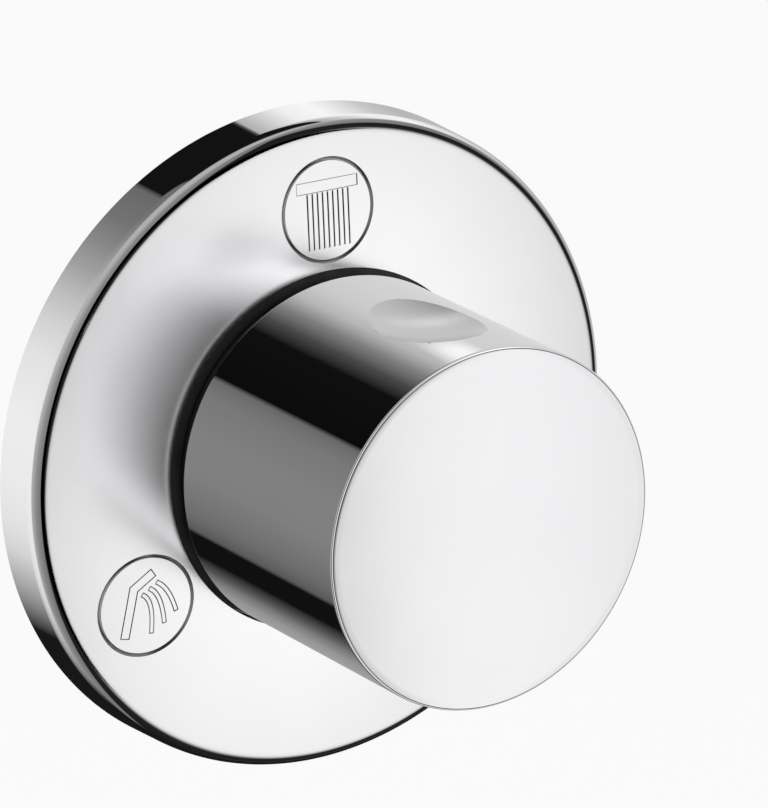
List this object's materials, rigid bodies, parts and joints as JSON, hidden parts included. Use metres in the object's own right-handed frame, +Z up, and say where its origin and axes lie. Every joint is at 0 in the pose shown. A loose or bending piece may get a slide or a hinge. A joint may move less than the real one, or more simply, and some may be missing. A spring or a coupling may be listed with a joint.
{
  "type": "shower diverter valve",
  "caption": "Concealed shower diverter with a round domed chrome cover plate, a round knob handle with a thumb dimple and symbol inserts, and a brass body with threaded ports.",
  "frame": {"origin": "centre of the finished-wall plane, on the spindle axis", "axes": "+X to the right as the user faces the wall, +Y into the wall, +Z up"},
  "size_m": [0.094, 0.0785, 0.094],
  "materials": {
    "chrome": "polished chrome plate",
    "black_plastic": "fine satin black",
    "rubber": "matt black rubber",
    "white_plastic": "slippery matt white",
    "steel": "plain stainless steel",
    "brass": "cast and turned brass",
    "grey_plastic": "glass-filled grey plastic",
    "ceramic": "lapped ceramic"
  },
  "bodies": {
    "valve": {"valve_body": "brass", "cartridge_housing": "grey_plastic", "cartridge_o_ring": "rubber", "retaining_nut": "brass", "stop_ring": "grey_plastic", "stator_disc": "ceramic", "base_gasket": "rubber", "sleeve": "black_plastic", "escutcheon_grip_ring": "rubber", "glide_ring": "white_plastic", "escutcheon": "chrome", "overhead_symbol_disc": "chrome", "hand_symbol_disc": "chrome", "wall_seal": "rubber"},
    "handle": {"handle": "chrome", "handle_grub_screw": "steel", "screw_cap": "chrome", "spindle_adapter": "brass", "adapter_screw": "steel", "spindle": "brass", "spindle_o_ring_front": "rubber", "spindle_o_ring_rear": "rubber", "retaining_clip": "steel", "thrust_washer": "white_plastic", "rotor_disc": "ceramic"}
  },
  "joints": [
    {"name": "handle_turn", "type": "hinge", "parent": "valve", "child": "handle", "pos_m": [0, -0.03, 0], "axis": [0, -1, 0], "range_deg": [-120, 120]}
  ]
}
